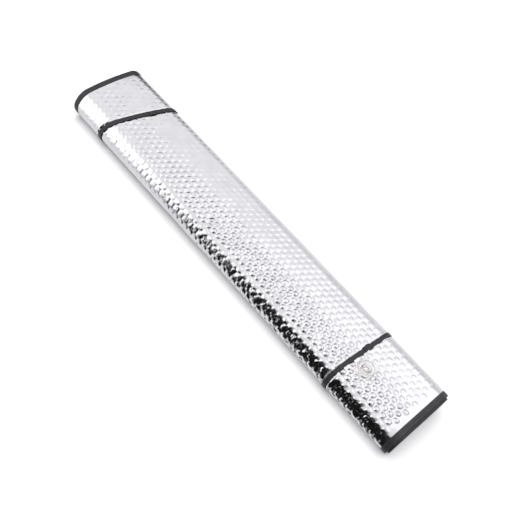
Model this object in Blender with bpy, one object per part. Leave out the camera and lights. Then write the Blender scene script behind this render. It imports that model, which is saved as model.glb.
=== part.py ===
"""Windscreen sunshade of silvered bubble film, rolled flat and held by two elastic loops.

Units are metres, +Z up. The pack lies along X. The sheet is wound over and over round a flat core, so its
section in the YZ plane is a flattened spiral: straight runs joined by half turns, left and right in turn.
"""

import math

import bmesh
import bpy
from mathutils import Vector

# The sheet, laid flat
SHEET_SPAN = 1.400          # along the winding
PACK_LENGTH = 0.700         # along X, over the bound edges
FILM = 0.0033               # thickness of the blown bubbles and both skins
RIM = 0.0018                # thickness where the bubbles are crushed under the tape

# The winding
RUNS = 12                   # straight runs, one above the other
PITCH = 0.0038              # from one layer to the next
CROWN_FAR = 0.0060          # rise of the middle of the top at -X
CROWN_NEAR = 0.0020         # and at +X
CROWN_HALF_WIDTH = 0.065

# Edge tape, folded over each of the sheet's four edges
TAPE_WIDTH = 0.010
TAPE = 0.00045
FIT_GAP = 0.0003

# Elastic loops
STRAP_WIDTH = 0.008
STRAP = 0.0012
STRAP_GAP = 0.0004
SEWN_LAP = 0.013
STRAP_FAR = (-0.2630, 0.225, 0.17)   # x at the middle of the top, its drift with y, its drift with z
STRAP_NEAR = (0.2310, 0.085, -0.04)
STRAP_TOP_Z = 0.050

# Suction cup, face up on the top run
CUP_X, CUP_Y = 0.2530, -0.0150
CUP_RADIUS = 0.0130
CUP_DEPTH = 0.0050
STEM_RADIUS = 0.0030
HEAD_RADIUS = 0.0052
HEAD_DEPTH = 0.0018
CUP_SEGMENTS = 28

ARC_STEP = 0.0062
RUN_STEPS = 3
BOTTOM = STRAP + STRAP_GAP

arc_lengths = sum(math.pi * PITCH * (k + 1) / 2 for k in range(RUNS - 1))
RUN = (SHEET_SPAN - arc_lengths) / RUNS
LOWEST = -(RUNS // 2) * PITCH - FILM / 2
HEIGHT = (RUNS - 1) * PITCH + FILM
LEFT_REACH = (RUNS - 1) / 2 * PITCH + FILM / 2
RIGHT_REACH = (RUNS // 2 - 1) * PITCH + FILM / 2
Y_LEFT = -(RUN + RIGHT_REACH - LEFT_REACH) / 2
Y_RIGHT = Y_LEFT + RUN
HALF_X = PACK_LENGTH / 2


def clear_scene():
    for item in list(bpy.data.objects):
        bpy.data.objects.remove(item, do_unlink=True)


def finish(name, color, roughness, metallic, alpha=1.0):
    material = bpy.data.materials.new(name)
    material.use_nodes = True
    shader = material.node_tree.nodes["Principled BSDF"]
    shader.inputs["Base Color"].default_value = (*color, 1.0)
    shader.inputs["Roughness"].default_value = roughness
    shader.inputs["Metallic"].default_value = metallic
    shader.inputs["Alpha"].default_value = alpha
    return material


def add_object(name, work, material, smooth_angle=35):
    bmesh.ops.recalc_face_normals(work, faces=work.faces)
    if work.calc_volume(signed=True) < 0:
        bmesh.ops.reverse_faces(work, faces=work.faces)
    mesh = bpy.data.meshes.new(name)
    work.to_mesh(mesh)
    work.free()
    mesh.materials.append(material)
    mesh.shade_smooth()
    mesh.set_sharp_from_angle(angle=math.radians(smooth_angle))
    item = bpy.data.objects.new(name, mesh)
    bpy.context.scene.collection.objects.link(item)
    return item


def crowned(x, y, z):
    """The wound section swells towards the middle of its top, most at the far end."""
    along = (x + HALF_X) / PACK_LENGTH
    rise = CROWN_FAR + (CROWN_NEAR - CROWN_FAR) * along
    across = max(0.0, 1 - (y / CROWN_HALF_WIDTH) ** 2)
    level = (z - LOWEST) / HEIGHT
    return Vector((x, y, BOTTOM + (z - LOWEST) + rise * across * level))


def winding():
    """(y, z, normal y, normal z) along the middle of the sheet, from its inner edge to its outer edge."""
    inset = TAPE_WIDTH - FIT_GAP - TAPE
    path = []
    for k in range(RUNS):
        leftward = k % 2 == 0
        level = PITCH * (k // 2) if leftward else -PITCH * (k // 2 + 1)
        start, end = (Y_RIGHT, Y_LEFT) if leftward else (Y_LEFT, Y_RIGHT)
        outward = 1.0 if leftward else -1.0
        stops = [start + (end - start) * i / RUN_STEPS for i in range(RUN_STEPS + 1)]
        if k == 0:
            stops[1:1] = [start - inset - 0.0005, start - inset - 0.003]
        if k == RUNS - 1:
            stops[-1:-1] = [end - inset - 0.003, end - inset - 0.0005]
        if path:
            stops = stops[1:]
        path += [(y, level, 0.0, outward) for y in stops]
        if k == RUNS - 1:
            break
        radius = PITCH * (k + 1) / 2
        steps = max(5, math.ceil(math.pi * radius / ARC_STEP))
        middle = (Y_LEFT, -PITCH / 2) if leftward else (Y_RIGHT, 0.0)
        first = math.pi / 2 if leftward else -math.pi / 2
        for i in range(1, steps + 1):
            turn = first + math.pi * i / steps
            ny, nz = math.cos(turn), math.sin(turn)
            path.append((middle[0] + radius * ny, middle[1] + radius * nz, ny, nz))
    return path


def bridge(work, rings, closed_ring=True, closed_path=False):
    """Quads from each ring of vertices to the next."""
    pairs = list(zip(rings, rings[1:] + rings[:1])) if closed_path else list(zip(rings, rings[1:]))
    for a, b in pairs:
        n = len(a)
        for i in range(n if closed_ring else n - 1):
            j = (i + 1) % n
            work.faces.new((a[i], a[j], b[j], b[i]))


def foil_sheet(path):
    """The whole sheet as one wound solid, thinner along all four edges."""
    end_x = HALF_X - TAPE - FIT_GAP
    thin_x = HALF_X - TAPE_WIDTH - 0.0005
    full_x = thin_x - 0.0025
    half_x = full_x / 2
    stations = [(-end_x, 0), (-thin_x, 0), (-full_x, 1), (-half_x, 1), (0.0, 1), (half_x, 1), (full_x, 1), (thin_x, 0), (end_x, 0)]
    thin_from_start, thin_from_end = 2, len(path) - 2
    work = bmesh.new()
    outer, inner = [], []
    for x, full in stations:
        outer.append([])
        inner.append([])
        for i, (y, z, ny, nz) in enumerate(path):
            bound = i < thin_from_start or i >= thin_from_end
            half = FILM / 2 if full and not bound else RIM / 2
            outer[-1].append(work.verts.new(crowned(x, y + ny * half, z + nz * half)))
            inner[-1].append(work.verts.new(crowned(x, y - ny * half, z - nz * half)))
    for side, first in ((outer, True), (inner, False)):
        for a, b in zip(side, side[1:]):
            for i in range(len(path) - 1):
                one, two = (a[i], a[i + 1], b[i + 1]), (a[i], b[i + 1], b[i])
                work.faces.new(one if first else one[::-1])
                work.faces.new(two if first else two[::-1])
    for ring_out, ring_in, flip in ((outer[0], inner[0], False), (outer[-1], inner[-1], True)):
        for i in range(len(path) - 1):
            quad = (ring_out[i], ring_in[i], ring_in[i + 1], ring_out[i + 1])
            work.faces.new(quad[::-1] if flip else quad)
    for i in (0, len(path) - 1):
        for s in range(len(stations) - 1):
            work.faces.new((outer[s][i], outer[s + 1][i], inner[s + 1][i], inner[s][i]))
    return work


def tape_outline():
    """Section of the folded tape: (distance in from the edge, height off the middle of the sheet)."""
    high = RIM / 2 + FIT_GAP + TAPE
    low = RIM / 2 + FIT_GAP
    return [(TAPE_WIDTH, high), (0.0, high), (0.0, -high), (TAPE_WIDTH, -high),
            (TAPE_WIDTH, -low), (TAPE, -low), (TAPE, low), (TAPE_WIDTH, low)]


def end_tape(path, side):
    """Tape over a wound edge, at x = side * HALF_X."""
    work = bmesh.new()
    rings = []
    for y, z, ny, nz in path:
        rings.append([work.verts.new(crowned(side * (HALF_X - d), y + ny * h, z + nz * h)) for d, h in tape_outline()])
    bridge(work, rings)
    for ring in (rings[0], rings[-1]):
        for quad in ((0, 1, 6, 7), (1, 2, 5, 6), (2, 3, 4, 5)):
            work.faces.new([ring[i] for i in quad])
    return work


def straight_tape(level, edge_y):
    """Tape over one of the two edges that run along X."""
    reach = HALF_X - TAPE_WIDTH - FIT_GAP
    work = bmesh.new()
    rings = []
    for x in (-reach, -reach / 2, 0.0, reach / 2, reach):
        rings.append([work.verts.new(crowned(x, edge_y + TAPE + FIT_GAP - d, level + h)) for d, h in tape_outline()])
    bridge(work, rings)
    for ring in (rings[0], rings[-1]):
        for quad in ((0, 1, 6, 7), (1, 2, 5, 6), (2, 3, 4, 5)):
            work.faces.new([ring[i] for i in quad])
    return work


def hull(points):
    """Convex outline, counter-clockwise, with the points that lie on a straight side left out."""
    points = sorted(set((round(y, 7), round(z, 7)) for y, z in points))

    def half(run):
        chain = []
        for p in run:
            while len(chain) > 1:
                (ay, az), (by, bz) = chain[-2], chain[-1]
                if (by - ay) * (p[1] - az) - (bz - az) * (p[0] - ay) > 1e-9:
                    break
                chain.pop()
            chain.append(p)
        return chain[:-1]

    return half(points) + half(points[::-1])


def strap_loop(path, place, lap_at):
    """Flat elastic drawn round the pack, with its two ends sewn one on the other at lap_at (a y on the top)."""
    x_mid, drift_y, drift_z = place
    around = []
    for y, z, ny, nz in path:
        p = crowned(x_mid, y + ny * FILM / 2, z + nz * FILM / 2)
        around.append((p.y, p.z))
    around.append((Y_RIGHT + TAPE + FIT_GAP, BOTTOM))
    outline = hull(around)
    stops = []
    n = len(outline)
    for i, (y, z) in enumerate(outline):
        stops.append((y, z, i))
        ty, tz = outline[(i + 1) % n]
        for cut in sorted((lap_at - SEWN_LAP / 2 - 0.001, lap_at - SEWN_LAP / 2, lap_at + SEWN_LAP / 2, lap_at + SEWN_LAP / 2 + 0.001), reverse=True):
            if z > HEIGHT / 2 and tz > HEIGHT / 2 and ty < cut < y:
                stops.append((cut, z + (tz - z) * (cut - y) / (ty - y), -1))
    n = len(stops)
    work = bmesh.new()
    rings = []
    for i, (y, z, _) in enumerate(stops):
        before, after = stops[i - 1], stops[(i + 1) % n]
        a = Vector((z - before[1], -(y - before[0]))).normalized()
        b = Vector((after[1] - z, -(after[0] - y))).normalized()
        out = (a + b).normalized()
        out /= max(0.5, out.dot(a))
        lapped = z > HEIGHT / 2 and abs(y - lap_at) <= SEWN_LAP / 2 + 1e-6
        depth = STRAP * (1.9 if lapped else 1.0)
        ring = []
        for offset, across in ((STRAP_GAP, -1), (STRAP_GAP, 1), (STRAP_GAP + depth, 1), (STRAP_GAP + depth, -1)):
            py, pz = y + out.x * offset, z + out.y * offset
            x = x_mid + drift_y * py + drift_z * (pz - STRAP_TOP_Z) + across * STRAP_WIDTH / 2
            ring.append(work.verts.new((x, py, pz)))
        rings.append(ring)
    bridge(work, rings, closed_path=True)
    return work


def turned(profile, segments):
    """Solid of revolution about the cup's axis; the profile runs from axis to axis."""
    work = bmesh.new()
    rings = []
    for r, z in profile:
        if r < 1e-9:
            rings.append([work.verts.new((CUP_X, CUP_Y, z))])
            continue
        rings.append([work.verts.new((CUP_X + r * math.cos(2 * math.pi * i / segments), CUP_Y + r * math.sin(2 * math.pi * i / segments), z)) for i in range(segments)])
    for a, b in zip(rings, rings[1:]):
        for i in range(segments):
            j = (i + 1) % segments
            if len(a) == 1:
                work.faces.new((a[0], b[i], b[j]))
            elif len(b) == 1:
                work.faces.new((a[i], a[j], b[0]))
            else:
                work.faces.new((a[i], a[j], b[j], b[i]))
    return work


def film_faces():
    """Heights of the top run's two faces and of the next run's top face, under the cup."""
    top = (RUNS // 2 - 1) * PITCH
    return [crowned(CUP_X, CUP_Y, z).z for z in (top + FILM / 2, top - FILM / 2, top - PITCH + FILM / 2)]


def cup_profile():
    upper, lower, _ = film_faces()
    seat = upper + FIT_GAP
    head = lower - FIT_GAP
    rim = seat + CUP_DEPTH
    return [(0.0, head - HEAD_DEPTH), (HEAD_RADIUS - 0.0008, head - HEAD_DEPTH), (HEAD_RADIUS, head - HEAD_DEPTH + 0.0008), (HEAD_RADIUS, head),
            (STEM_RADIUS, head), (STEM_RADIUS, seat), (0.0052, seat + 0.0002), (0.0078, seat + 0.0012), (0.0108, seat + 0.0030), (CUP_RADIUS, rim - 0.0006),
            (CUP_RADIUS, rim), (0.0122, rim), (0.0104, rim - 0.0012), (0.0078, rim - 0.0024), (0.0045, rim - 0.0030), (0.0, rim - 0.0031)]


def pull_tab():
    """Tongue on the cup's lip, pointing along +X, rounded at its tip."""
    rim = cup_profile()[10][1]
    work = bmesh.new()
    outline = [(0.0112, -0.0032), (0.0150, -0.0030)]
    outline += [(0.0150 + 0.0030 * math.sin(math.pi * i / 6), -0.0030 * math.cos(math.pi * i / 6)) for i in range(1, 6)]
    outline += [(0.0150, 0.0030), (0.0112, 0.0032)]
    top = [work.verts.new((CUP_X + a, CUP_Y + b, rim - 0.0001)) for a, b in outline]
    low = [work.verts.new((CUP_X + a, CUP_Y + b, rim - 0.0011)) for a, b in outline]
    work.faces.new(top)
    work.faces.new(low[::-1])
    bridge(work, [low, top])
    return work


def cup_hole():
    """Hole through the top run, opening into a hollow pressed in the run below for the cup's head."""
    upper, lower, under = film_faces()
    pocket = lower - FIT_GAP - HEAD_DEPTH - FIT_GAP
    step = (lower + under) / 2
    return turned([(0.0, pocket), (HEAD_RADIUS + 0.0005, pocket), (HEAD_RADIUS + 0.0005, step),
                   (STEM_RADIUS + 0.0004, step), (STEM_RADIUS + 0.0004, upper + 0.002), (0.0, upper + 0.002)], 20)


def as_cutter(item):
    item.hide_render = True
    item.display_type = "WIRE"
    return item


def join_shapes(item, other, operation):
    """The result of the Boolean becomes the object's own mesh."""
    change = item.modifiers.new(operation.lower(), "BOOLEAN")
    change.operation = operation
    change.solver = "EXACT"
    change.object = other
    bpy.context.view_layer.update()
    shape = bpy.data.meshes.new_from_object(item.evaluated_get(bpy.context.evaluated_depsgraph_get()))
    item.modifiers.clear()
    item.data = shape
    bpy.data.objects.remove(other, do_unlink=True)


def main():
    clear_scene()
    silver = finish("silver_film", (0.86, 0.87, 0.89), 0.22, 1.0)
    tape = finish("edge_tape", (0.02, 0.02, 0.022), 0.7, 0.0)
    elastic = finish("elastic", (0.015, 0.015, 0.017), 0.8, 0.0)
    clear = finish("clear_vinyl", (0.86, 0.82, 0.74), 0.12, 0.0, 0.45)

    path = winding()
    sheet = add_object("foil_sheet", foil_sheet(path), silver)
    join_shapes(sheet, as_cutter(add_object("cup_hole", cup_hole(), silver)), "DIFFERENCE")

    add_object("edge_binding_near", end_tape(path, 1.0), tape)
    add_object("edge_binding_far", end_tape(path, -1.0), tape)
    add_object("edge_binding_outer", straight_tape(-(RUNS // 2) * PITCH, Y_RIGHT), tape)
    add_object("edge_binding_inner", straight_tape(0.0, Y_RIGHT), tape)

    add_object("strap_near", strap_loop(path, STRAP_NEAR, 0.010), elastic)
    add_object("strap_far", strap_loop(path, STRAP_FAR, 0.016), elastic)

    cup = add_object("suction_cup", turned(cup_profile(), CUP_SEGMENTS), clear)
    join_shapes(cup, as_cutter(add_object("pull_tab", pull_tab(), clear)), "UNION")


main()
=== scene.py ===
"""Looks of the rolled windscreen sunshade: silvered bubble film, sewn black edge tape, braided elastic loops and a
clear suction cup, on a pale floor. Metres, +Z up, +X along the pack towards the cup."""

import math

import bmesh
import bpy
import numpy as np
from mathutils import Matrix, Vector


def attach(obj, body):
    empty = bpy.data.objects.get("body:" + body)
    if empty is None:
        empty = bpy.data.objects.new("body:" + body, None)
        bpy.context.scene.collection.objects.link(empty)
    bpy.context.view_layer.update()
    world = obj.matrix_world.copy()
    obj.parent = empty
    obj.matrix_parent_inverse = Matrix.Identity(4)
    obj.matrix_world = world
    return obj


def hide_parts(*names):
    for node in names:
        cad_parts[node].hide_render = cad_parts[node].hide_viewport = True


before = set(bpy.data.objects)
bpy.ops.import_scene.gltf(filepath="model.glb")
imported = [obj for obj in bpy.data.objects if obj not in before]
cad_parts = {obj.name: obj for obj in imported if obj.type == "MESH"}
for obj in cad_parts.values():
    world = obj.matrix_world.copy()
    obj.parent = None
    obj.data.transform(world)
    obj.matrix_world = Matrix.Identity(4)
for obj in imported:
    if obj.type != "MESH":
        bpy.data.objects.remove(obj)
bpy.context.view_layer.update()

# ------------------------------------------------------------------ the winding, as in the construction
SHEET_SPAN, PACK_LENGTH = 1.400, 0.700
FILM, RIM = 0.0033, 0.0018
RUNS, PITCH = 12, 0.0038
CROWN_FAR, CROWN_NEAR, CROWN_HALF_WIDTH = 0.0060, 0.0020, 0.065
TAPE_WIDTH, TAPE, FIT_GAP = 0.009, 0.00045, 0.0003
STRAP_WIDTH, STRAP, STRAP_GAP, SEWN_LAP = 0.008, 0.0012, 0.0004, 0.013
STRAP_FAR, STRAP_NEAR, STRAP_TOP_Z = (-0.2630, 0.225, 0.17), (0.2319, 0.045, -0.04), 0.050
LAP_FAR, LAP_NEAR = 0.016, 0.010
CUP_X, CUP_Y = 0.2530, -0.0150
BOTTOM = STRAP + STRAP_GAP
RUN = (SHEET_SPAN - sum(math.pi * PITCH * (k + 1) / 2 for k in range(RUNS - 1))) / RUNS
LOWEST = -(RUNS // 2) * PITCH - FILM / 2
HEIGHT = (RUNS - 1) * PITCH + FILM
LEFT_REACH = (RUNS - 1) / 2 * PITCH + FILM / 2
RIGHT_REACH = (RUNS // 2 - 1) * PITCH + FILM / 2
Y_LEFT = -(RUN + RIGHT_REACH - LEFT_REACH) / 2
Y_RIGHT = Y_LEFT + RUN
HALF_X = PACK_LENGTH / 2
HALF_FILM = FILM / 2

# the bubbles
CELL_X = 0.01084            # pitch along a row
ROW = 0.00936               # between rows
BUBBLE_RADIUS = 0.00472
BUBBLE_HEIGHT = 0.0013

# the elastic is drawn tight, into the bubbles, and is a little narrower for it
SINK = 0.0009
ELASTIC_FAR, ELASTIC_NEAR = 0.0075, 0.0066

# the inner turns stand out a little at the near end, the outer turn at the far end
SLIP_INNER, SLIP_OUTER = 0.0020, -0.0012

rng = np.random.default_rng(11)


def crowned(x, y, z):
    """Arrays of x, y and winding z to an array of points."""
    x, y, z = np.broadcast_arrays(np.asarray(x, float), np.asarray(y, float), np.asarray(z, float))
    rise = CROWN_FAR + (CROWN_NEAR - CROWN_FAR) * (x + HALF_X) / PACK_LENGTH
    across = np.maximum(0.0, 1 - (y / CROWN_HALF_WIDTH) ** 2)
    level = (z - LOWEST) / HEIGHT
    return np.stack([x, y, BOTTOM + (z - LOWEST) + rise * across * level], -1)


def stretches():
    """(start, length, kind, data) of each run and half turn, in order along the sheet."""
    out, s = [], 0.0
    for k in range(RUNS):
        leftward = k % 2 == 0
        level = PITCH * (k // 2) if leftward else -PITCH * (k // 2 + 1)
        out.append((s, RUN, "run", (leftward, level)))
        s += RUN
        if k < RUNS - 1:
            radius = PITCH * (k + 1) / 2
            out.append((s, math.pi * radius, "turn", (leftward, radius)))
            s += math.pi * radius
    return out


STRETCHES = stretches()


def along(s):
    """y, z and outward normal of the middle of the sheet at distances s from its inner edge."""
    s = np.asarray(s, float)
    y, z, ny, nz = (np.zeros_like(s) for _ in range(4))
    for i, (start, length, kind, data) in enumerate(STRETCHES):
        here = (s >= start - 1e-12) & ((s < start + length) | (i == len(STRETCHES) - 1))
        t = s[here] - start
        if kind == "run":
            leftward, level = data
            y[here] = (Y_RIGHT - t) if leftward else (Y_LEFT + t)
            z[here] = level
            ny[here] = 0.0
            nz[here] = 1.0 if leftward else -1.0
        else:
            leftward, radius = data
            cy, cz = (Y_LEFT, -PITCH / 2) if leftward else (Y_RIGHT, 0.0)
            a = (math.pi / 2 if leftward else -math.pi / 2) + t / radius
            ny[here], nz[here] = np.cos(a), np.sin(a)
            y[here] = cy + radius * np.cos(a)
            z[here] = cz + radius * np.sin(a)
    return y, z, ny, nz


def smooth(t):
    t = np.clip(t, 0, 1)
    return t * t * (3 - 2 * t)


def on_sheet(x, s, n):
    """Points at x, at distance s along the sheet and n off its middle."""
    x, s, n = np.broadcast_arrays(np.asarray(x, float), np.asarray(s, float), np.asarray(n, float))
    y, z, ny, nz = along(s)
    outer = smooth((s - STRETCHES[18][0]) / (STRETCHES[20][0] - STRETCHES[18][0]))
    slip = SLIP_INNER + (SLIP_OUTER - SLIP_INNER) * outer
    return crowned(x + slip, y + ny * n, z + nz * n)


def pressed(x, s, n):
    """n, held down to where the elastic lies."""
    x, s, n = np.broadcast_arrays(np.asarray(x, float), np.asarray(s, float), np.asarray(n, float))
    p = on_sheet(x, s, n)
    nz = along(s)[3]
    sunk = SINK * smooth((nz + 0.6) / 0.5)
    for (x_mid, drift_y, drift_z), width in ((STRAP_NEAR, ELASTIC_NEAR), (STRAP_FAR, ELASTIC_FAR)):
        off = np.abs(p[..., 0] - (x_mid + drift_y * p[..., 1] + drift_z * (p[..., 2] - STRAP_TOP_Z)))
        limit = HALF_FILM - (sunk + 0.00012) * (1 - smooth((off - width / 2 - 0.0003) / 0.0024))
        n = np.minimum(n, np.where(sunk > 0, limit, HALF_FILM))
    return n


def waves(x, s, seed, size, count=9):
    """Smooth seeded undulation, about -1 to 1, of the given wavelength."""
    r = np.random.default_rng(seed)
    total = np.zeros(np.broadcast(x, s).shape)
    for _ in range(count):
        a = r.uniform(0, 2 * math.pi)
        k = 2 * math.pi / (size * r.uniform(0.7, 1.5))
        total = total + np.sin(k * (np.cos(a) * x + np.sin(a) * s) + r.uniform(0, 6.28))
    return total / math.sqrt(count)


# ------------------------------------------------------------------ meshes
class Shape:
    """Collects points and faces for one mesh."""

    def __init__(self):
        self.points, self.faces, self.count = [], [], 0

    def add(self, points):
        points = np.asarray(points, float).reshape(-1, 3)
        first = self.count
        self.points.append(points)
        self.count += len(points)
        return np.arange(first, self.count)

    def face(self, *index):
        self.faces.append(tuple(int(i) for i in index))

    def quads(self, a, b, closed=False):
        """Faces between two rows of point numbers."""
        n = len(a)
        for i in range(n if closed else n - 1):
            j = (i + 1) % n
            self.faces.append((int(a[i]), int(a[j]), int(b[j]), int(b[i])))

    def tris(self, array):
        self.faces.extend(map(tuple, np.asarray(array).reshape(-1, 3).tolist()))

    def object(self, name, material, sharp=60, recalc=True):
        points = np.concatenate(self.points)
        mesh = bpy.data.meshes.new(name)
        mesh.from_pydata(points.tolist(), [], self.faces)
        if recalc:
            work = bmesh.new()
            work.from_mesh(mesh)
            bmesh.ops.recalc_face_normals(work, faces=work.faces)
            if work.calc_volume(signed=True) < 0:
                bmesh.ops.reverse_faces(work, faces=work.faces)
            work.to_mesh(mesh)
            work.free()
        mesh.validate()
        mesh.materials.append(material)
        mesh.shade_smooth()
        mesh.set_sharp_from_angle(angle=math.radians(sharp))
        item = bpy.data.objects.new(name, mesh)
        bpy.context.scene.collection.objects.link(item)
        return item


def zip_rows(a, a_key, b, b_key):
    """Triangles between two rows of points with different counts, both in rising order of key."""
    out, i, j = [], 0, 0
    while i < len(a) - 1 or j < len(b) - 1:
        if j == len(b) - 1 or (i < len(a) - 1 and a_key[i + 1] <= b_key[j + 1]):
            out.append((int(a[i]), int(a[i + 1]), int(b[j])))
            i += 1
        else:
            out.append((int(a[i]), int(b[j + 1]), int(b[j])))
            j += 1
    return out


# ------------------------------------------------------------------ materials
def material(name):
    made = bpy.data.materials.new(name)
    made.use_nodes = True
    tree = made.node_tree
    return made, tree, tree.nodes["Principled BSDF"]


def noise(tree, vector, scale, detail=3.0, rough=0.5, distortion=0.0):
    node = tree.nodes.new("ShaderNodeTexNoise")
    node.inputs["Scale"].default_value = scale
    node.inputs["Detail"].default_value = detail
    node.inputs["Roughness"].default_value = rough
    node.inputs["Distortion"].default_value = distortion
    tree.links.new(vector, node.inputs["Vector"])
    return node.outputs["Fac"]


def math_node(tree, operation, a, b=None, c=None):
    node = tree.nodes.new("ShaderNodeMath")
    node.operation = operation
    for i, value in enumerate((a, b, c)):
        if value is None:
            continue
        if isinstance(value, (int, float)):
            node.inputs[i].default_value = value
        else:
            tree.links.new(value, node.inputs[i])
    return node.outputs[0]


def spread(tree, value, low, high, new_low, new_high):
    node = tree.nodes.new("ShaderNodeMapRange")
    tree.links.new(value, node.inputs["Value"])
    for key, v in (("From Min", low), ("From Max", high), ("To Min", new_low), ("To Max", new_high)):
        node.inputs[key].default_value = v
    return node.outputs["Result"]


def ramp(tree, value, stops):
    node = tree.nodes.new("ShaderNodeValToRGB")
    elements = node.color_ramp.elements
    while len(elements) < len(stops):
        elements.new(0.5)
    for element, (at, color) in zip(elements, stops):
        element.position = at
        element.color = (*color, 1.0)
    tree.links.new(value, node.inputs["Fac"])
    return node.outputs["Color"]


def bump(tree, height, strength, distance, normal=None):
    node = tree.nodes.new("ShaderNodeBump")
    node.inputs["Strength"].default_value = strength
    node.inputs["Distance"].default_value = distance
    tree.links.new(height, node.inputs["Height"])
    if normal is not None:
        tree.links.new(normal, node.inputs["Normal"])
    return node.outputs["Normal"]


def object_coords(tree):
    return tree.nodes.new("ShaderNodeTexCoord").outputs["Object"]


def silver_film():
    made, tree, shader = material("silver_film_looks")
    where = object_coords(tree)
    broad = noise(tree, where, 55, 2.0)
    fine = noise(tree, where, 900, 4.0, 0.6, 0.4)
    crease = tree.nodes.new("ShaderNodeTexVoronoi")
    crease.feature = "DISTANCE_TO_EDGE"
    crease.inputs["Scale"].default_value = 330
    shift = tree.nodes.new("ShaderNodeMixRGB")
    shift.inputs["Fac"].default_value = 0.012
    tree.links.new(where, shift.inputs["Color1"])
    color_noise = tree.nodes.new("ShaderNodeTexNoise")
    color_noise.inputs["Scale"].default_value = 160
    tree.links.new(where, color_noise.inputs["Vector"])
    tree.links.new(color_noise.outputs["Color"], shift.inputs["Color2"])
    tree.links.new(shift.outputs["Color"], crease.inputs["Vector"])
    fold = spread(tree, crease.outputs["Distance"], 0.0, 0.12, 0.0, 1.0)
    normal = bump(tree, fold, 0.12, 0.0002)
    normal = bump(tree, noise(tree, where, 260, 1.0, 0.5, 0.3), 0.08, 0.0005, normal)
    normal = bump(tree, broad, 0.25, 0.0010, normal)
    normal = bump(tree, fine, 0.06, 0.0001, normal)
    tree.links.new(normal, shader.inputs["Normal"])
    tree.links.new(ramp(tree, broad, [(0.3, (0.88, 0.88, 0.90)), (0.7, (0.95, 0.95, 0.965))]), shader.inputs["Base Color"])
    tree.links.new(spread(tree, fine, 0.3, 0.7, 0.08, 0.16), shader.inputs["Roughness"])
    shader.inputs["Metallic"].default_value = 1.0
    shader.inputs["Coat Weight"].default_value = 0.25
    shader.inputs["Coat Roughness"].default_value = 0.06
    return made


def woven_tape():
    made, tree, shader = material("edge_tape_looks")
    where = object_coords(tree)
    weave = tree.nodes.new("ShaderNodeTexVoronoi")
    weave.inputs["Scale"].default_value = 1500
    tree.links.new(where, weave.inputs["Vector"])
    fibre = noise(tree, where, 700, 5.0, 0.7)
    patch = noise(tree, where, 120, 2.0)
    height = math_node(tree, "ADD", math_node(tree, "MULTIPLY", weave.outputs["Distance"], 0.7), fibre)
    tree.links.new(bump(tree, height, 0.35, 0.0001), shader.inputs["Normal"])
    mixed = math_node(tree, "MULTIPLY", fibre, patch)
    tree.links.new(ramp(tree, mixed, [(0.1, (0.006, 0.006, 0.007)), (0.45, (0.024, 0.024, 0.027))]), shader.inputs["Base Color"])
    tree.links.new(spread(tree, fibre, 0.3, 0.7, 0.34, 0.50), shader.inputs["Roughness"])
    shader.inputs["Specular IOR Level"].default_value = 0.65
    shader.inputs["Sheen Weight"].default_value = 0.06
    shader.inputs["Sheen Roughness"].default_value = 0.5
    return made


def braided_elastic():
    made, tree, shader = material("elastic_looks")
    where = object_coords(tree)
    split = tree.nodes.new("ShaderNodeSeparateXYZ")
    tree.links.new(where, split.inputs[0])
    fibre = noise(tree, where, 1400, 4.0, 0.7)
    slub = noise(tree, where, 260, 2.0)
    pick = tree.nodes.new("ShaderNodeTexVoronoi")
    pick.inputs["Scale"].default_value = 1100
    tree.links.new(where, pick.inputs["Vector"])
    height = math_node(tree, "ADD", math_node(tree, "MULTIPLY", pick.outputs["Distance"], 0.8), fibre)
    tree.links.new(bump(tree, height, 0.4, 0.00015), shader.inputs["Normal"])
    tree.links.new(ramp(tree, math_node(tree, "MULTIPLY", fibre, slub), [(0.1, (0.005, 0.005, 0.006)), (0.45, (0.020, 0.020, 0.022))]), shader.inputs["Base Color"])
    tree.links.new(spread(tree, fibre, 0.3, 0.7, 0.36, 0.52), shader.inputs["Roughness"])
    shader.inputs["Specular IOR Level"].default_value = 0.65
    shader.inputs["Sheen Weight"].default_value = 0.06
    shader.inputs["Sheen Roughness"].default_value = 0.45
    return made


def thread():
    made, tree, shader = material("thread_looks")
    where = object_coords(tree)
    twist = noise(tree, where, 2600, 2.0)
    tree.links.new(bump(tree, twist, 0.4, 0.0001), shader.inputs["Normal"])
    tree.links.new(ramp(tree, twist, [(0.3, (0.012, 0.012, 0.013)), (0.7, (0.05, 0.05, 0.055))]), shader.inputs["Base Color"])
    shader.inputs["Roughness"].default_value = 0.5
    return made


def clear_vinyl():
    made, tree, shader = material("clear_vinyl_looks")
    where = object_coords(tree)
    cloud = noise(tree, where, 220, 2.0)
    tree.links.new(bump(tree, cloud, 0.06, 0.0003), shader.inputs["Normal"])
    tree.links.new(ramp(tree, cloud, [(0.3, (0.99, 0.98, 0.955)), (0.7, (1.0, 0.99, 0.975))]), shader.inputs["Base Color"])
    tree.links.new(spread(tree, cloud, 0.3, 0.7, 0.005, 0.02), shader.inputs["Roughness"])
    shader.inputs["Transmission Weight"].default_value = 1.0
    shader.inputs["IOR"].default_value = 1.42
    return made


def floor_looks():
    made, tree, shader = material("floor_looks")
    where = object_coords(tree)
    cloud = noise(tree, where, 3, 3.0)
    grain = noise(tree, where, 400, 3.0)
    tree.links.new(ramp(tree, cloud, [(0.3, (0.86, 0.86, 0.865)), (0.7, (0.88, 0.88, 0.885))]), shader.inputs["Base Color"])
    tree.links.new(bump(tree, grain, 0.03, 0.0003), shader.inputs["Normal"])
    shader.inputs["Roughness"].default_value = 0.75
    shader.inputs["Specular IOR Level"].default_value = 0.2
    return made


SILVER, TAPE_LOOKS, ELASTIC, THREAD, CLEAR = silver_film(), woven_tape(), braided_elastic(), thread(), clear_vinyl()


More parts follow.
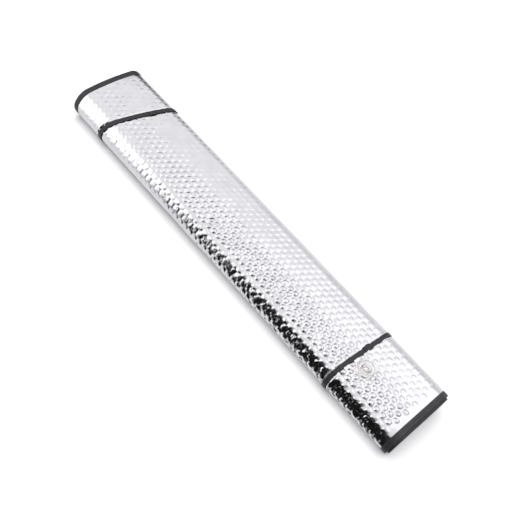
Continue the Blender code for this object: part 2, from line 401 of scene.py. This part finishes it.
# ------------------------------------------------------------------ the film
def circle_to_box(segments, box_angles):
    """Triangles that join a ring of points to the eight points round its cell, both in rising order of angle."""
    ring = [2 * math.pi * i / segments for i in range(segments)]
    out, i, j = [], 0, 0
    n, m = segments, len(box_angles)
    while i < n or j < m:
        next_ring = ring[(i + 1) % n] + (2 * math.pi if i + 1 >= n else 0)
        next_box = box_angles[(j + 1) % m] + (2 * math.pi if j + 1 >= m else 0)
        if j >= m or (i < n and next_ring <= next_box):
            out.append((("r", i % n), ("r", (i + 1) % n), ("b", j % m)))
            i += 1
        else:
            out.append((("b", (j + 1) % m), ("b", j % m), ("r", i % n)))
            j += 1
    return out


def bubble_film():
    shape = Shape()
    half = CELL_X / 2
    columns = 124
    x0 = CUP_X - SLIP_OUTER - 109 * half
    xs = x0 + half * np.arange(columns + 1)
    end_x = HALF_X - TAPE - FIT_GAP
    thin_x = HALF_X - TAPE_WIDTH - 0.0005
    stations = np.array([-end_x, -thin_x, xs[0], xs[31], xs[62], xs[93], xs[-1], thin_x, end_x])

    # rows are laid so that the cup's hole takes the place of one bubble
    top_start = STRETCHES[20][0]
    hole_s = top_start + (Y_RIGHT - CUP_Y)
    last_s = SHEET_SPAN - 0.0122
    after = int((last_s - hole_s - ROW / 2) // ROW)
    s_last = hole_s + ROW / 2 + after * ROW
    rows = 31
    s_first = s_last - rows * ROW
    hole_row = int(round((hole_s - s_first) / ROW - 0.5))
    parity = hole_row % 2

    # path points: a few in each hidden turn, one each half row where the film shows
    coarse = [0.0, TAPE_WIDTH - FIT_GAP - TAPE + 0.0005, TAPE_WIDTH - FIT_GAP - TAPE + 0.003]
    for start, length, kind, data in STRETCHES:
        steps = 5 if kind == "run" else max(6, math.ceil(length / 0.0048))
        for i in range(steps + 1):
            s = start + length * i / steps
            if coarse[-1] + 0.0006 < s < s_first - 0.002:
                coarse.append(s)
    dense = s_first + ROW / 2 * np.arange(2 * rows + 1)
    tail = [SHEET_SPAN - TAPE_WIDTH + FIT_GAP + TAPE - 0.0005, SHEET_SPAN]
    path = np.array(coarse + dense.tolist() + tail)
    first, last = len(coarse), len(coarse) + 2 * rows
    m = len(path)

    def thin(i, j):
        return j in (0, 1, 7, 8) or i in (0, 1) or i >= m - 2

    def slackness(x, s):
        """0 where the film is drawn smooth, 1 where it lies slack: the near end beside the outer fold."""
        under_cup = np.hypot(x + SLIP_OUTER - CUP_X, s - top_start - (Y_RIGHT - CUP_Y))
        return smooth((s - top_start - 0.034) / 0.046) * smooth((x + 0.20) / 0.28) * smooth((under_cup - 0.009) / 0.006)

    def relief(x, s):
        """Share of the full bubble height: the film is drawn flat over its folds and towards the far end."""
        x, s = np.broadcast_arrays(np.asarray(x, float), np.asarray(s, float))
        turn = (s - STRETCHES[21][0]) / STRETCHES[21][1]
        along_pack = smooth((x + 0.33) / 0.30)
        fold = smooth((turn - 0.01 - 0.09 * along_pack) / 0.12) * (1 - smooth((turn - 0.32 - 0.5 * (1 - along_pack)) / 0.20))
        fold = np.maximum(fold, smooth((STRETCHES[20][0] - s) / STRETCHES[19][1] * 6 - 0.4))
        left = smooth((s - top_start - 0.026) / 0.040)
        flat = 0.19 + 0.22 * smooth((x + 0.14) / 0.28) + (0.24 + 0.42 * along_pack) * left
        flat = flat + (1.50 - flat) * slackness(x, s)
        under_cup = np.hypot(x + SLIP_OUTER - CUP_X, s - top_start - (Y_RIGHT - CUP_Y))
        flat = flat * (0.15 + 0.85 * smooth((under_cup - 0.0115) / 0.0030)) * (1 - 0.62 * smooth((turn - 0.22) / 0.15))
        return flat + (0.13 + 0.06 * along_pack - flat) * fold + 0.06 * waves(x, s, 8, 0.05) * flat

    def swell(x, s):
        """Slack and tension in the film, faded out at its tape."""
        fade = np.clip((HALF_X - TAPE_WIDTH - np.abs(x)) / 0.02, 0, 1)
        return (0.00016 * waves(x, s, 5, 0.060) + 0.00028 * waves(x, s, 6, 0.014) * slackness(x, s) + 0.00004 * waves(x, s, 7, 0.008)) * fade

    def ground(x, s):
        """Height of the film between its bubbles, off the middle of the sheet."""
        return HALF_FILM - BUBBLE_HEIGHT * relief(x, s) + swell(x, s)

    inner = np.empty((m, 9), int)
    outer = -np.ones((m, 9), int)
    for i, s in enumerate(path):
        n_in = np.array([-RIM / 2 if thin(i, j) else -HALF_FILM for j in range(9)])
        # at the free corners the cut edge lies a little inside the fold of the end tape
        cut = s - 0.0025 * np.array([i == m - 1 and j in (0, 1, 7, 8) for j in range(9)])
        inner[i] = shape.add(on_sheet(stations, cut, n_in))
        bubbly = first <= i <= last
        n_out = np.array([RIM / 2 if thin(i, j) else HALF_FILM for j in range(9)])
        points = on_sheet(stations, cut, n_out)
        if bubbly:
            keep = [0, 1, 2, 6, 7, 8]
            n_out[[2, 6]] = ground(stations[[2, 6]], s)
            points = on_sheet(stations, s, n_out)
            outer[i, keep] = shape.add(points[keep])
        else:
            outer[i] = shape.add(points)

    for i in range(m - 1):
        shape.quads(inner[i], inner[i + 1])
        for end in (0, 8):
            shape.face(inner[i][end], inner[i + 1][end], outer[i + 1][end], outer[i][end])
        if first <= i < last:
            for j in (0, 1, 6, 7):
                shape.face(outer[i][j], outer[i][j + 1], outer[i + 1][j + 1], outer[i + 1][j])
        elif i not in (first - 1, last):
            shape.quads(outer[i], outer[i + 1])
    for i in (0, m - 1):
        shape.quads(inner[i], outer[i])

    # row lines, with a point at each half pitch
    lines = np.empty((rows + 1, columns + 1), int)
    for r in range(rows + 1):
        i = first + 2 * r
        lines[r, 0], lines[r, -1] = outer[i][2], outer[i][6]
        lines[r, 1:-1] = shape.add(on_sheet(xs[1:-1], path[i], ground(xs[1:-1], path[i])))
    for i, r, j in ((first - 1, 0, first), (last + 1, rows, last)):
        for a in (0, 1, 6, 7):
            shape.face(outer[i][a], outer[i][a + 1], outer[j][a + 1], outer[j][a])
        shape.tris(zip_rows(outer[i][2:7], stations[2:7], lines[r], xs))

    seen_first = top_start - 0.012          # finer bubbles on the top and the rounded side
    seen_last = STRETCHES[22][0] + 0.010
    for r in range(rows):
        s_mid = s_first + (r + 0.5) * ROW
        seen = seen_first < s_mid < seen_last
        segments = 16 if seen else 10
        levels = (0.36, 0.62, 0.82, 1.0) if seen else (0.62, 1.0)
        offset = (r + parity) % 2
        sides = np.empty(columns + 1, int)
        mid = first + 2 * r + 1
        sides[0], sides[-1] = outer[mid][2], outer[mid][6]
        k_side = np.arange(offset, columns + 1 - offset, 2)
        k_side = k_side[(k_side > 0) & (k_side < columns)]
        sides[k_side] = shape.add(on_sheet(xs[k_side], s_mid, ground(xs[k_side], s_mid)))
        low, high = lines[r], lines[r + 1]
        if offset:
            for k, q in ((0, 1), (columns, columns - 1)):
                shape.face(low[k], low[q], sides[q])
                shape.face(low[k], sides[q], sides[k])
                shape.face(sides[k], sides[q], high[k])
                shape.face(high[k], sides[q], high[q])
        starts = np.arange(offset, columns - 1, 2)
        count = len(starts)
        # the eight points round each cell, from angle 0 on
        around = np.stack([sides[starts + 2], high[starts + 2], high[starts + 1], high[starts], sides[starts], low[starts], low[starts + 1], low[starts + 2]], 1)
        corner = math.atan2(ROW / 2, half)
        angles = [0.0, corner, math.pi / 2, math.pi - corner, math.pi, math.pi + corner, 1.5 * math.pi, 2 * math.pi - corner]
        xc = xs[starts + 1]
        share = relief(xc, s_mid)
        tall = BUBBLE_HEIGHT * share * (0.88 + 0.12 * rng.random(count))
        slack = rng.random(count)
        tall = np.where(slack < 0.035, tall * 0.62, tall)
        lean_x, lean_s = rng.normal(0, 0.00030, count), rng.normal(0, 0.00030, count)
        loose = slackness(xc, s_mid)
        tip_x, tip_s = rng.normal(0, 1, count) * (0.012 + 0.03 * share + 0.09 * loose), rng.normal(0, 1, count) * (0.012 + 0.03 * share + 0.09 * loose)
        squeeze = 1 + rng.normal(0, 0.012, count)
        theta = 2 * math.pi * np.arange(segments) / segments
        is_hole = np.zeros(count, bool)
        if r == hole_row:
            is_hole = starts + 1 == 109
        dimple = np.where(rng.random(count) < 0.35, 0.00022 * rng.random(count), 0.0) * (share + 0.8 * loose)
        skirt = []
        for q in levels:
            radius = BUBBLE_RADIUS * q * squeeze
            px = xc[:, None] + radius[:, None] * np.cos(theta) + (lean_x * (1 - q * q))[:, None]
            ps = s_mid + radius[:, None] * np.sin(theta) * 0.985 + (lean_s * (1 - q * q))[:, None]
            rise = tall * (1 - q ** 2.2)
            fold_in = np.sin(theta[None] * 3 + 6.28 * slack[:, None]) + 0.8 * np.sin(theta[None] * 5 + 40 * slack[:, None])
            pucker = (0.00004 * share + 0.00011 * loose)[:, None] * fold_in * (q > 0.5) * (q < 1)
            tip = (tip_x[:, None] * np.cos(theta) + tip_s[:, None] * np.sin(theta)) * BUBBLE_RADIUS * q * (1 - q * q)
            n = ground(px, ps) + rise[:, None] + pucker + tip
            if is_hole.any():
                h = np.nonzero(is_hole)[0][0]
                level = float(ground(xc[h], s_mid))
                hole_radius = {0.36: 0.0034, 0.62: 0.0034, 0.82: 0.0036, 1.0: BUBBLE_RADIUS}[q]
                px[h] = xc[h] + hole_radius * np.cos(theta)
                ps[h] = s_mid + hole_radius * np.sin(theta)
                n[h] = {0.36: -HALF_FILM + 0.0003, 0.62: level + 0.0006, 0.82: level + 0.0009, 1.0: level}[q]
            skirt.append(shape.add(on_sheet(px, ps, pressed(px, ps, n))).reshape(count, segments))
        n_top = ground(xc, s_mid) + tall - dimple
        n_top = np.where(is_hole, -HALF_FILM + 0.0003, n_top)
        tx, ts = xc + np.where(is_hole, 0, lean_x), s_mid + np.where(is_hole, 0, lean_s)
        tops = shape.add(on_sheet(tx, ts, pressed(tx, ts, n_top)))
        ring = np.arange(segments)
        nxt = (ring + 1) % segments
        shape.tris(np.stack([np.repeat(tops[:, None], segments, 1), skirt[0][:, ring], skirt[0][:, nxt]], -1))
        for a, b in zip(skirt, skirt[1:]):
            shape.tris(np.stack([a[:, ring], b[:, ring], b[:, nxt]], -1))
            shape.tris(np.stack([a[:, ring], b[:, nxt], a[:, nxt]], -1))
        for tri in circle_to_box(segments, angles):
            cols = [skirt[-1][:, i] if which == "r" else around[:, i] for which, i in tri]
            shape.tris(np.stack(cols, -1))
    return shape.object("foil_sheet_film", SILVER, sharp=50), sum(len(f) - 2 for f in shape.faces)


film, film_triangles = bubble_film()
print("film triangles", film_triangles)


# ------------------------------------------------------------------ edge tape
def path_steps(fine_from, fine, rough):
    """Distances along the sheet, close together where the winding shows and wherever it turns tightly."""
    out = [0.0]
    for start, length, kind, data in STRETCHES:
        step = fine if start + length > fine_from else rough
        if kind == "turn":
            step = min(step, data[1] * 0.35)
        steps = max(1, math.ceil(length / step))
        out += [start + length * (i + 1) / steps for i in range(steps)]
    return np.array(out)


def tape_section():
    """(distance in from the edge, height off the middle) round the folded tape; True on what faces out."""
    high, low = RIM / 2 + FIT_GAP + TAPE, RIM / 2 + FIT_GAP
    face = [(TAPE_WIDTH, high - 0.00012), (TAPE_WIDTH - 0.0004, high), (0.0078, high), (0.0062, high - 0.00002), (0.0050, high - 0.00010),
            (0.0038, high - 0.00002), (0.0020, high), (0.0009, high - 0.00010), (0.00025, high - 0.00050), (0.0, high - 0.0011)]
    back = [(d, -h) for d, h in reversed(face)]
    inside = [(TAPE_WIDTH, -low), (0.0014, -low), (TAPE + 0.0001, -low * 0.5), (TAPE + 0.0001, low * 0.5), (0.0014, low), (TAPE_WIDTH, low)]
    return face + back + inside, len(face)


def end_tape(name, side, node, seed):
    section, faced = tape_section()
    d = np.array([p[0] for p in section])
    h = np.array([p[1] for p in section])
    steps = path_steps(STRETCHES[18][0] - 0.02, 0.0013, 0.0042)
    shape = Shape()
    rings = []
    out_side = np.arange(len(section)) < faced
    for s in steps:
        stitch = 0.5 + 0.5 * math.cos(2 * math.pi * s / 0.0031)
        ripple = 0.00006 * waves(np.array(s), 0.0, seed, 0.013) + 0.00005 * waves(np.array(s), 0.3, seed + 1, 0.005)
        hh = h + np.where(out_side & (d > 0.001), ripple - 0.00008 * stitch * np.exp(-((d - 0.0050) / 0.0009) ** 2), 0)
        wander = 0.00018 * waves(np.array(s), 0.7, seed + 2, 0.045)
        dd = d + np.where(d > 0.009, wander, 0)
        rings.append(shape.add(on_sheet(side * (HALF_X - dd), s, hh)))
    for a, b in zip(rings, rings[1:]):
        shape.quads(a, b, closed=True)
    n = len(section)
    for ring in (rings[0], rings[-1]):
        shape.faces.append(tuple(int(i) for i in ring))
    tape = shape.object(name, TAPE_LOOKS, sharp=55)
    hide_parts(node)
    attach(tape, "root")

    # lockstitch along the middle of the tape, where it faces out
    stitches = Shape()
    s = STRETCHES[18][0] + STRETCHES[18][1] - 0.006
    top = RIM / 2 + FIT_GAP + TAPE - 0.00005
    while s < SHEET_SPAN - 0.004:
        add_stitch(stitches, lambda t, u, v, s=s: on_sheet(side * (HALF_X - 0.0050 + u), s + t, top + v), 0.0026, 0.00021)
        s += 0.0031
    seam = stitches.object(name + "_seam", THREAD, sharp=80)
    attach(seam, "root")
    return tape


def add_stitch(shape, place, length, radius, sides=6, steps=6):
    """One thread stitch: a low arch that dips into the cloth at both ends."""
    rings = []
    for i in range(steps + 1):
        t = length * (i / steps - 0.5)
        arch = radius * (0.9 - 2.4 * abs(i / steps - 0.5) ** 3 * 4)
        a = 2 * math.pi * np.arange(sides) / sides
        r = radius * (1.0 if 0 < i < steps else 0.6)
        rings.append(shape.add(np.concatenate([place(np.array(t), np.array(r * math.cos(x)), np.array(arch + r * math.sin(x))).reshape(1, 3) for x in a])))
    for a, b in zip(rings, rings[1:]):
        shape.quads(a, b, closed=True)
    for ring in (rings[0], rings[-1]):
        shape.faces.append(tuple(int(i) for i in ring))


def straight_tape(name, level, edge_y, node, seed, slip):
    section, faced = tape_section()
    d = np.array([p[0] for p in section])
    h = np.array([p[1] for p in section])
    reach = HALF_X - TAPE_WIDTH - FIT_GAP
    shape = Shape()
    rings = []
    for x in np.linspace(-reach, reach, 340):
        ripple = 0.00006 * waves(x, 0.0, seed, 0.013)
        hh = h + np.where(np.abs(h) > 0.0013, np.sign(h) * ripple, 0)
        rings.append(shape.add(crowned(x + slip, edge_y + TAPE + FIT_GAP - d, level + hh)))
    for a, b in zip(rings, rings[1:]):
        shape.quads(a, b, closed=True)
    for ring in (rings[0], rings[-1]):
        shape.faces.append(tuple(int(i) for i in ring))
    tape = shape.object(name, TAPE_LOOKS, sharp=55)
    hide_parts(node)
    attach(tape, "root")
    return tape


end_tape("edge_tape_near", 1.0, "edge_binding_near", 21)
end_tape("edge_tape_far", -1.0, "edge_binding_far", 31)
straight_tape("edge_tape_outer", -(RUNS // 2) * PITCH, Y_RIGHT, "edge_binding_outer", 41, SLIP_OUTER)
straight_tape("edge_tape_inner", 0.0, Y_RIGHT, "edge_binding_inner", 51, SLIP_INNER)

# seam on the tape under the pack
seam = Shape()
x = -0.334
while x < 0.334:
    add_stitch(seam, lambda t, u, v, x=x: crowned(x + t + SLIP_OUTER, Y_RIGHT + TAPE + FIT_GAP - 0.005 + u, -(RUNS // 2) * PITCH - (RIM / 2 + FIT_GAP + TAPE) + 0.00005 - v), 0.0026, 0.00021, sides=5, steps=4)
    x += 0.0031
seam = seam.object("edge_tape_outer_seam", THREAD, sharp=80)
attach(seam, "root")


# ------------------------------------------------------------------ elastic loops
def hull(points):
    points = sorted(set((round(y, 7), round(z, 7)) for y, z in points))

    def half(run):
        chain = []
        for p in run:
            while len(chain) > 1:
                (ay, az), (by, bz) = chain[-2], chain[-1]
                if (by - ay) * (p[1] - az) - (bz - az) * (p[0] - ay) > 1e-10:
                    break
                chain.pop()
            chain.append(p)
        return chain[:-1]

    return half(points) + half(points[::-1])


def loop_line(x_mid, step):
    """Evenly spaced points and outward normals round the pack, in y and z, counter-clockwise."""
    s = np.linspace(STRETCHES[18][0], SHEET_SPAN, 900)
    p = on_sheet(np.full_like(s, x_mid), s, HALF_FILM)
    around = [(a[1], a[2]) for a in p] + [(Y_RIGHT + TAPE + FIT_GAP, BOTTOM)]
    line = np.array(hull(around))
    closed = np.vstack([line, line[:1]])
    reach = np.concatenate([[0], np.cumsum(np.linalg.norm(np.diff(closed, axis=0), axis=1))])
    count = int(round(reach[-1] / step))
    at = np.linspace(0, reach[-1], count, endpoint=False)
    y, z = np.interp(at, reach, closed[:, 0]), np.interp(at, reach, closed[:, 1])
    pts = np.stack([y, z], 1)
    tangent = np.roll(pts, -2, 0) - np.roll(pts, 2, 0)
    tangent /= np.linalg.norm(tangent, axis=1)[:, None]
    normal = np.stack([tangent[:, 1], -tangent[:, 0]], 1)
    for _ in range(3):
        normal = normal + np.roll(normal, 1, 0) + np.roll(normal, -1, 0)
        normal /= np.linalg.norm(normal, axis=1)[:, None]
    pts = pts - normal * (SINK * smooth((normal[:, 1] + 0.6) / 0.5))[:, None]
    return at, pts, normal


def strap_section(width, depth, ribs=6):
    """(across, height) round the elastic's section: ribs above, flat below."""
    w = width / 2
    upper = []
    for i in range(ribs * 4 + 1):
        a = -w + 0.00035 + (width - 0.0007) * i / (ribs * 4)
        upper.append((a, depth - 0.00016 * (0.5 + 0.5 * math.cos(2 * math.pi * ribs * i / (ribs * 4)))))
    right = [(w - 0.00005, depth * 0.75), (w, depth * 0.45), (w - 0.0002, 0.0001)]
    lower = [(w - 0.0008, 0.0), (0.0, 0.0), (-w + 0.0008, 0.0)]
    left = [(-w + 0.0002, 0.0001), (-w, depth * 0.45), (-w + 0.00005, depth * 0.75)]
    return np.array(upper + right + lower + left)


def strap(name, place, width, lap_at, node, seed, lap_slip):
    x_mid, drift_y, drift_z = place
    at, pts, normal = loop_line(x_mid, 0.0009)
    section = strap_section(width, STRAP)
    shape = Shape()
    rings = []
    upper = pts[:, 1] > 0.03
    for k in range(len(at)):
        y, z = pts[k]
        ny, nz = normal[k]
        edge = 0.00016 * waves(np.array(at[k]), 0.0, seed, 0.012)
        across = section[:, 0] * (1 + 0.02 * waves(np.array(at[k]), 0.5, seed + 1, 0.03)) + edge
        pick = 0.00004 * math.sin(2 * math.pi * at[k] / 0.0018)
        height = STRAP_GAP + section[:, 1] + np.where(section[:, 1] > STRAP * 0.6, pick, 0)
        py, pz = y + ny * height, z + nz * height
        px = x_mid + drift_y * py + drift_z * (pz - STRAP_TOP_Z) + across
        rings.append(shape.add(np.stack([px, py, pz], 1)))
    for a, b in zip(rings, rings[1:] + rings[:1]):
        shape.quads(a, b, closed=True)

    # the sewn lap: the loop's other end, laid on top and stitched down
    top = [k for k in range(len(at)) if upper[k] and abs(pts[k][0] - lap_at) <= SEWN_LAP / 2]
    lap = strap_section(width, STRAP * 0.86)
    rings = []
    for n, k in enumerate(top):
        t = n / (len(top) - 1)
        y, z = pts[k]
        ny, nz = normal[k]
        rise = STRAP_GAP + STRAP + 0.00004
        taper = min(1.0, 0.75 + 4 * min(t, 1 - t))
        height = rise + lap[:, 1] * taper
        py, pz = y + ny * height, z + nz * height
        slip = lap_slip * (0.4 + 0.6 * math.sin(math.pi * t))
        px = x_mid + drift_y * py + drift_z * (pz - STRAP_TOP_Z) + lap[:, 0] + slip
        rings.append(shape.add(np.stack([px, py, pz], 1)))
    for a, b in zip(rings, rings[1:]):
        shape.quads(a, b, closed=True)
    for ring in (rings[0], rings[-1]):
        shape.faces.append(tuple(int(i) for i in ring))
    loop = shape.object(name, ELASTIC, sharp=50)
    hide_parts(node)
    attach(loop, "root")

    # bar tacks across the lap
    tack = Shape()
    for offset in (-0.0042, 0.0, 0.0042):
        k = min(top, key=lambda i: abs(pts[i][0] - lap_at - offset))
        for j in range(6):
            across = -0.0027 + 0.00108 * j
            lean = 0.0008 if j % 2 else -0.0008

            def place_thread(t, u, v, k=k, across=across, lean=lean):
                i = k + (t + lean * t / 0.0012) / 0.0009
                lo = int(math.floor(float(i)))
                f = float(i) - lo
                y, z = pts[lo] * (1 - f) + pts[lo + 1] * f
                ny, nz = normal[lo]
                h = STRAP_GAP + STRAP + STRAP * 0.86 - 0.00005 + float(v)
                py, pz = y + ny * h, z + nz * h
                return np.array([x_mid + drift_y * py + drift_z * (pz - STRAP_TOP_Z) + across + float(u) + lap_slip + float(t) * 0.35, py, pz])

            add_stitch(tack, place_thread, 0.0020, 0.00018, sides=5, steps=5)
    tacks = tack.object(name + "_tacks", THREAD, sharp=80)
    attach(tacks, "root")
    return loop


strap("strap_near_elastic", STRAP_NEAR, ELASTIC_NEAR, LAP_NEAR, "strap_near", 61, -0.0010)
strap("strap_far_elastic", STRAP_FAR, ELASTIC_FAR, LAP_FAR, "strap_far", 71, 0.0014)


# ------------------------------------------------------------------ suction cup
def suction_cup():
    top = (RUNS // 2 - 1) * PITCH
    seat = crowned(CUP_X, CUP_Y, top + HALF_FILM)[2] + FIT_GAP
    foot = crowned(CUP_X, CUP_Y, top - HALF_FILM)[2] + 0.0006
    rim = seat + 0.0050
    profile = [(0.0, foot), (0.0026, foot), (0.0030, foot + 0.0003), (0.0030, seat - 0.0004), (0.0033, seat), (0.0044, seat + 0.0001), (0.0054, seat + 0.0004),
               (0.0066, seat + 0.0009), (0.0080, seat + 0.0015), (0.0094, seat + 0.0023), (0.0108, seat + 0.0031), (0.0117, seat + 0.0037), (0.0122, rim - 0.0012), (0.0127, rim - 0.0012),
               (0.0131, rim - 0.0009), (0.0132, rim - 0.0005), (0.0130, rim - 0.0001), (0.0126, rim), (0.0121, rim - 0.0002), (0.0118, rim - 0.0006), (0.0112, rim - 0.0010), (0.0100, rim - 0.0016),
               (0.0088, rim - 0.0023), (0.0078, rim - 0.0028), (0.0071, rim - 0.0030), (0.0067, rim - 0.0027), (0.0064, rim - 0.0019), (0.0060, rim - 0.0014),
               (0.0055, rim - 0.0013), (0.0051, rim - 0.0016), (0.0048, rim - 0.0024), (0.0044, rim - 0.0030), (0.0036, rim - 0.0032), (0.0018, rim - 0.0032), (0.0, rim - 0.0031)]
    segments = 72
    shape = Shape()
    rings = []
    for r, z in profile:
        if r == 0:
            rings.append(shape.add([[CUP_X, CUP_Y, z]]))
            continue
        a = 2 * math.pi * np.arange(segments) / segments
        rr, zz = np.full(segments, r), np.full(segments, z)
        if r > 0.0118:
            # the lip runs out into a pull tab on the +X side
            turn = (a + math.pi) % (2 * math.pi) - math.pi
            tongue = np.exp(-(turn / 0.16) ** 4)
            rr = rr + tongue * 0.0046 * min(1.0, (r - 0.0118) / 0.0010)
            zz = zz - tongue * 0.0002
        rings.append(shape.add(np.stack([CUP_X + rr * np.cos(a), CUP_Y + rr * np.sin(a), zz], 1)))
    for a, b in zip(rings, rings[1:]):
        if len(a) == 1 or len(b) == 1:
            one, ring = (a[0], b) if len(a) == 1 else (b[0], a)
            for i in range(segments):
                shape.face(one, ring[i], ring[(i + 1) % segments])
        else:
            shape.quads(a, b, closed=True)
    cup = shape.object("suction_cup_vinyl", CLEAR, sharp=70)
    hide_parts("suction_cup")
    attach(cup, "root")
    return cup


suction_cup()

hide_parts("foil_sheet")
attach(film, "root")


# ------------------------------------------------------------------ floor
def floor():
    """A pale sweep: flat under the pack, rising smoothly a long way off."""
    shape = Shape()
    rings = []
    segments = 96
    for r, z in [(0.0, 0.0), (0.5, 0.0), (1.0, 0.0), (2.0, 0.0), (3.5, 0.0), (4.2, 0.04), (4.8, 0.16), (5.3, 0.38), (5.7, 0.70), (6.0, 1.15), (6.2, 1.8), (6.3, 3.0), (6.3, 4.5)]:
        a = 2 * math.pi * np.arange(segments) / segments
        rings.append(shape.add([[0, 0, z]]) if r == 0 else shape.add(np.stack([r * np.cos(a), r * np.sin(a), np.full(segments, z)], 1)))
    for i in range(segments):
        shape.face(rings[0][0], rings[1][i], rings[1][(i + 1) % segments])
    for a, b in zip(rings[1:], rings[2:]):
        shape.quads(a, b, closed=True)
    item = shape.object("floor", floor_looks(), recalc=False)
    item.visible_glossy = False
    item.visible_transmission = False
    return item


floor()

# ------------------------------------------------------------------ light
scene = bpy.context.scene
world = bpy.data.worlds.new("studio")
scene.world = world
world.use_nodes = True
tree = world.node_tree
tree.nodes.clear()
output = tree.nodes.new("ShaderNodeOutputWorld")
background = tree.nodes.new("ShaderNodeBackground")
tree.links.new(background.outputs[0], output.inputs[0])
direction = tree.nodes.new("ShaderNodeTexCoord").outputs["Generated"]
split = tree.nodes.new("ShaderNodeSeparateXYZ")
tree.links.new(direction, split.inputs[0])


def facing(towards):
    """How far a direction points towards the given one, -1 to 1."""
    node = tree.nodes.new("ShaderNodeVectorMath")
    node.operation = "DOT_PRODUCT"
    tree.links.new(direction, node.inputs[0])
    node.inputs[1].default_value = Vector(towards).normalized()
    return node.outputs["Value"]


def lobe(towards, inner, outer):
    """1 within the inner angle of a direction, in degrees, falling smoothly to 0 at the outer one."""
    node = tree.nodes.new("ShaderNodeMapRange")
    node.interpolation_type = "SMOOTHSTEP"
    tree.links.new(facing(towards), node.inputs["Value"])
    node.inputs["From Min"].default_value = math.cos(math.radians(outer))
    node.inputs["From Max"].default_value = math.cos(math.radians(inner))
    return node.outputs["Result"]


def ramped(value, low, high):
    """0 where a value is at or past low, 1 at or past high, smooth between."""
    node = tree.nodes.new("ShaderNodeMapRange")
    node.interpolation_type = "SMOOTHSTEP"
    tree.links.new(value, node.inputs["Value"])
    node.inputs["From Min"].default_value = low
    node.inputs["From Max"].default_value = high
    return node.outputs["Result"]


def aim(azimuth, elevation):
    """Direction at an azimuth from -Y towards -X and an elevation, in degrees."""
    a, e = math.radians(azimuth), math.radians(elevation)
    return (-math.sin(a) * math.cos(e), -math.cos(a) * math.cos(e), math.sin(e))


def towards_value(level, weight, value):
    """Level, pulled to a value by a weight."""
    gap = math_node(tree, "SUBTRACT", value, level)
    return math_node(tree, "ADD", level, math_node(tree, "MULTIPLY", gap, weight))


# a white ceiling that greys towards the horizon, brightest over the near end, a pale wall on the far side, a
# bright panel over the far half, and the dark of the room in front
height = math_node(tree, "MULTIPLY", math_node(tree, "ADD", split.outputs["Z"], 1.0), 0.5)
level = ramp(tree, height, [(0.38, (0.10,) * 3), (0.50, (0.30,) * 3), (0.62, (0.45,) * 3), (0.76, (0.67,) * 3), (0.90, (0.72,) * 3), (1.0, (0.78,) * 3)])
level = towards_value(level, lobe(aim(100, 38), 30, 58), 0.85)
level = towards_value(level, lobe(aim(80, 0), 38, 58), 0.80)
level = towards_value(level, lobe(aim(85, -40), 44, 66), 0.76)
level = towards_value(level, lobe(aim(172, -22), 30, 50), 0.80)
level = towards_value(level, lobe(aim(198, 62), 20, 29), 1.12)
level = towards_value(level, lobe(aim(128, 5), 16, 28), 0.05)
level = towards_value(level, lobe(aim(52, 30), 22, 28), 1.25)
level = towards_value(level, lobe(aim(46, 4), 20, 26), 1.25)
level = towards_value(level, lobe(aim(-40, 2), 54, 64), 0.28)
doorway = math_node(tree, "MULTIPLY", ramped(facing(aim(80, 0)), -0.05, 0.03), ramped(facing(aim(-67, 0)), -0.04, 0.05))
doorway = math_node(tree, "MULTIPLY", doorway, math_node(tree, "MULTIPLY", ramped(split.outputs["Z"], -1.0, -0.86), ramped(split.outputs["Z"], 0.76, 0.65)))
level = towards_value(level, doorway, 0.008)
level = towards_value(level, lobe(aim(-75, 25), 8, 14), 0.90)
tree.links.new(level, background.inputs["Strength"])
background.inputs["Color"].default_value = (0.99, 0.975, 1.0, 1.0)


def area_light(name, at, towards, size, power, color=(1, 1, 1)):
    data = bpy.data.lights.new(name, "AREA")
    data.shape = "RECTANGLE"
    data.size, data.size_y = size
    data.energy = power
    data.color = color
    item = bpy.data.objects.new(name, data)
    scene.collection.objects.link(item)
    item.location = at
    item.rotation_euler = (Vector(towards) - Vector(at)).to_track_quat("-Z", "Y").to_euler()
    return item


key = area_light("key", (-0.1, -0.3, 2.4), (0, 0, 0), (3.0, 3.0), 75)
key.visible_glossy = False
key.visible_transmission = False

# ------------------------------------------------------------------ camera, at the photograph's angle
rotation = Matrix(((0.648795, 0.728515, 0.219844), (0.699350, -0.456957, -0.549636), (-0.299958, 0.510349, -0.805959)))
camera_data = bpy.data.cameras.new("camera")
camera_data.sensor_fit = "HORIZONTAL"
camera_data.sensor_width = 36.0
camera_data.lens = 769.93 / 520 * 36.0
camera = bpy.data.objects.new("camera", camera_data)
scene.collection.objects.link(camera)
right, down, ahead = rotation[0], rotation[1], rotation[2]
pose = Matrix((right, -down, -ahead)).transposed().to_4x4()
pose.translation = Vector((0.367734, -0.576294, 0.925884))
camera.matrix_world = pose
scene.camera = camera

scene.view_settings.view_transform = "Standard"
scene.view_settings.look = "None"
scene.view_settings.exposure = 0.0
